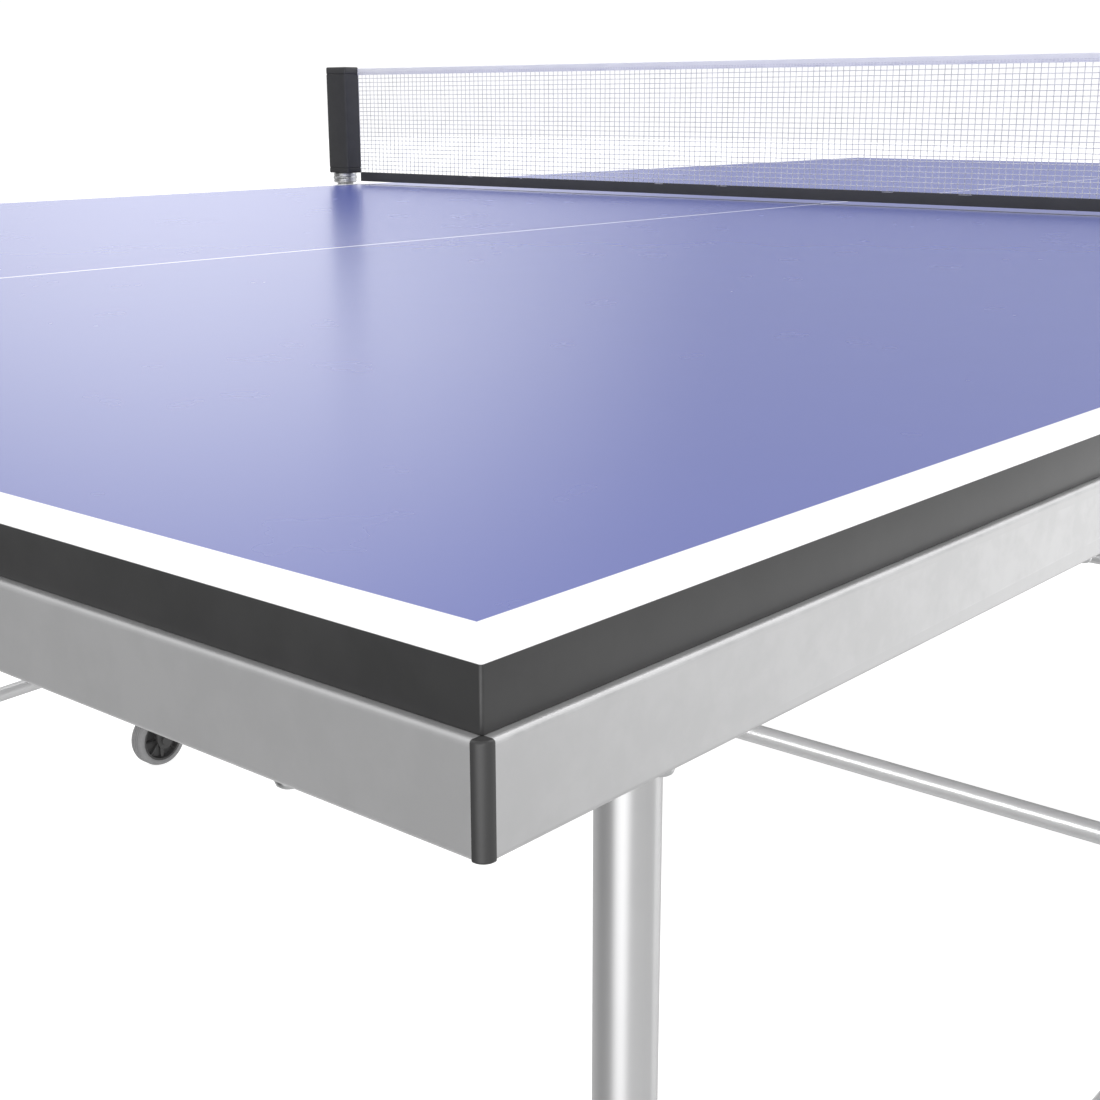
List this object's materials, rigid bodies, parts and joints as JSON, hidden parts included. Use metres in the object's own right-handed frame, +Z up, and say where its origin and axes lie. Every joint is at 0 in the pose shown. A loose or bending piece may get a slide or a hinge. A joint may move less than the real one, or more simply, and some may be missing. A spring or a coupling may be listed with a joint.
{
  "type": "ping pong table",
  "caption": "Folding indoor table-tennis table: two blue tops with white lines on steel rails, hinged to a rolling trolley with folding legs, link rods, castors and a net.",
  "frame": {"origin": "on the floor under the middle of the net", "axes": "+X along the length of the table, +Y across its width, +Z up"},
  "size_m": [2.746, 1.597, 0.917],
  "materials": {
    "playing_top": "painted matte blue with white lines",
    "edge_band": "satin black",
    "rail_paint": "satin light grey powder coat",
    "tube_paint": "satin light grey powder coat",
    "moulded_black": "satin moulded",
    "post_black": "satin moulded",
    "zinc_steel": "zinc plated",
    "foot_rubber": "matte",
    "wheel_rubber": "matte grey",
    "castor_black": "satin moulded",
    "net_cord": "knotless polyester mesh",
    "net_tape": "woven tape",
    "net_band": "woven band",
    "knob_black": "satin moulded"
  },
  "bodies": {
    "trolley": {"net_bottom_band": "net_band", "net_collars": "zinc_steel", "net_mesh": "net_cord", "net_posts": "post_black", "net_top_tape": "net_tape", "trolley_base_plugs": "moulded_black", "trolley_base_tubes": "tube_paint", "trolley_castor_sockets": "tube_paint", "trolley_cross_tubes": "tube_paint", "trolley_fold_pins": "zinc_steel", "trolley_fold_posts": "tube_paint", "trolley_lock_carriers": "tube_paint", "trolley_net_columns": "tube_paint", "trolley_rod_lugs": "tube_paint"},
    "castor_a_far_fork": {"castor_a_far_fork": "castor_black"},
    "castor_a_far_wheel": {"castor_a_far_wheel": "wheel_rubber"},
    "castor_a_near_fork": {"castor_a_near_fork": "castor_black"},
    "castor_a_near_wheel": {"castor_a_near_wheel": "wheel_rubber"},
    "castor_b_far_fork": {"castor_b_far_fork": "castor_black"},
    "castor_b_far_wheel": {"castor_b_far_wheel": "wheel_rubber"},
    "castor_b_near_fork": {"castor_b_near_fork": "castor_black"},
    "castor_b_near_wheel": {"castor_b_near_wheel": "wheel_rubber"},
    "foot_a_far": {"foot_a_far": "foot_rubber"},
    "foot_a_near": {"foot_a_near": "foot_rubber"},
    "foot_b_far": {"foot_b_far": "foot_rubber"},
    "foot_b_near": {"foot_b_near": "foot_rubber"},
    "half_a": {"half_a_board": "playing_top", "half_a_corner_covers": "moulded_black", "half_a_edge_band": "edge_band", "half_a_end_rail": "rail_paint", "half_a_fold_brackets": "rail_paint", "half_a_inner_rail": "rail_paint", "half_a_leg_brackets": "rail_paint", "half_a_leg_pins": "zinc_steel", "half_a_rail_screws": "zinc_steel", "half_a_side_rails": "rail_paint"},
    "half_b": {"half_b_board": "playing_top", "half_b_corner_covers": "moulded_black", "half_b_edge_band": "edge_band", "half_b_end_rail": "rail_paint", "half_b_fold_brackets": "rail_paint", "half_b_inner_rail": "rail_paint", "half_b_leg_brackets": "rail_paint", "half_b_leg_pins": "zinc_steel", "half_b_rail_screws": "zinc_steel", "half_b_side_rails": "rail_paint"},
    "legs_a": {"legs_a_bars": "tube_paint", "legs_a_foot_plugs": "moulded_black", "legs_a_rod_lugs": "tube_paint", "legs_a_tubes": "tube_paint"},
    "legs_b": {"legs_b_bars": "tube_paint", "legs_b_foot_plugs": "moulded_black", "legs_b_rod_lugs": "tube_paint", "legs_b_tubes": "tube_paint"},
    "link_rods_a": {"link_rods_a": "tube_paint"},
    "link_rods_b": {"link_rods_b": "tube_paint"},
    "lock_plunger_a": {"lock_plunger_a": "knob_black"},
    "lock_plunger_b": {"lock_plunger_b": "knob_black"}
  },
  "joints": [
    {"name": "half_a_fold", "type": "hinge", "parent": "trolley", "child": "half_a", "pos_m": [-0.398, 0, 0.728], "axis": [0, 1, 0], "range_deg": [0, 90]},
    {"name": "legs_a_fold", "type": "hinge", "parent": "half_a", "child": "legs_a", "pos_m": [-1.12, 0, 0.706], "axis": [0, 1, 0], "range_deg": [-90, 0]},
    {"name": "link_rods_a_swing", "type": "hinge", "parent": "trolley", "child": "link_rods_a", "pos_m": [-0.422, 0, 0.228], "axis": [0, 1, 0], "range_deg": [0, 90]},
    {"name": "foot_a_near_turn", "type": "hinge", "parent": "legs_a", "child": "foot_a_near", "pos_m": [-1.12, -0.607, 0.02], "axis": [0, 0, 1], "continuous": true},
    {"name": "castor_a_near_swivel", "type": "hinge", "parent": "trolley", "child": "castor_a_near_fork", "pos_m": [-0.398, -0.7785, 0.08], "axis": [0, 0, 1], "continuous": true},
    {"name": "castor_a_near_roll", "type": "hinge", "parent": "castor_a_near_fork", "child": "castor_a_near_wheel", "pos_m": [-0.378, -0.7785, 0.0375], "axis": [0, 1, 0], "continuous": true},
    {"name": "foot_a_far_turn", "type": "hinge", "parent": "legs_a", "child": "foot_a_far", "pos_m": [-1.12, 0.607, 0.02], "axis": [0, 0, 1], "continuous": true},
    {"name": "castor_a_far_swivel", "type": "hinge", "parent": "trolley", "child": "castor_a_far_fork", "pos_m": [-0.398, 0.7785, 0.08], "axis": [0, 0, 1], "continuous": true},
    {"name": "castor_a_far_roll", "type": "hinge", "parent": "castor_a_far_fork", "child": "castor_a_far_wheel", "pos_m": [-0.378, 0.7785, 0.0375], "axis": [0, 1, 0], "continuous": true},
    {"name": "lock_plunger_a_pull", "type": "slide", "parent": "trolley", "child": "lock_plunger_a", "axis": [0, -1, 0], "range_m": [0, 0.01], "stiffness_N_per_m": 250},
    {"name": "half_b_fold", "type": "hinge", "parent": "trolley", "child": "half_b", "pos_m": [0.398, 0, 0.728], "axis": [0, -1, 0], "range_deg": [0, 90]},
    {"name": "legs_b_fold", "type": "hinge", "parent": "half_b", "child": "legs_b", "pos_m": [1.12, 0, 0.706], "axis": [0, -1, 0], "range_deg": [-90, 0]},
    {"name": "link_rods_b_swing", "type": "hinge", "parent": "trolley", "child": "link_rods_b", "pos_m": [0.422, 0, 0.228], "axis": [0, -1, 0], "range_deg": [0, 90]},
    {"name": "foot_b_near_turn", "type": "hinge", "parent": "legs_b", "child": "foot_b_near", "pos_m": [1.12, -0.607, 0.02], "axis": [0, 0, 1], "continuous": true},
    {"name": "castor_b_near_swivel", "type": "hinge", "parent": "trolley", "child": "castor_b_near_fork", "pos_m": [0.398, -0.7785, 0.08], "axis": [0, 0, 1], "continuous": true},
    {"name": "castor_b_near_roll", "type": "hinge", "parent": "castor_b_near_fork", "child": "castor_b_near_wheel", "pos_m": [0.378, -0.7785, 0.0375], "axis": [0, 1, 0], "continuous": true},
    {"name": "foot_b_far_turn", "type": "hinge", "parent": "legs_b", "child": "foot_b_far", "pos_m": [1.12, 0.607, 0.02], "axis": [0, 0, 1], "continuous": true},
    {"name": "castor_b_far_swivel", "type": "hinge", "parent": "trolley", "child": "castor_b_far_fork", "pos_m": [0.398, 0.7785, 0.08], "axis": [0, 0, 1], "continuous": true},
    {"name": "castor_b_far_roll", "type": "hinge", "parent": "castor_b_far_fork", "child": "castor_b_far_wheel", "pos_m": [0.378, 0.7785, 0.0375], "axis": [0, 1, 0], "continuous": true},
    {"name": "lock_plunger_b_pull", "type": "slide", "parent": "trolley", "child": "lock_plunger_b", "axis": [0, -1, 0], "range_m": [0, 0.01], "stiffness_N_per_m": 250}
  ],
  "couplings": [
    {"joint": "legs_a_fold", "follows": "half_a_fold", "ratio": -1},
    {"joint": "link_rods_a_swing", "follows": "half_a_fold", "ratio": 1},
    {"joint": "legs_b_fold", "follows": "half_b_fold", "ratio": -1},
    {"joint": "link_rods_b_swing", "follows": "half_b_fold", "ratio": 1}
  ]
}
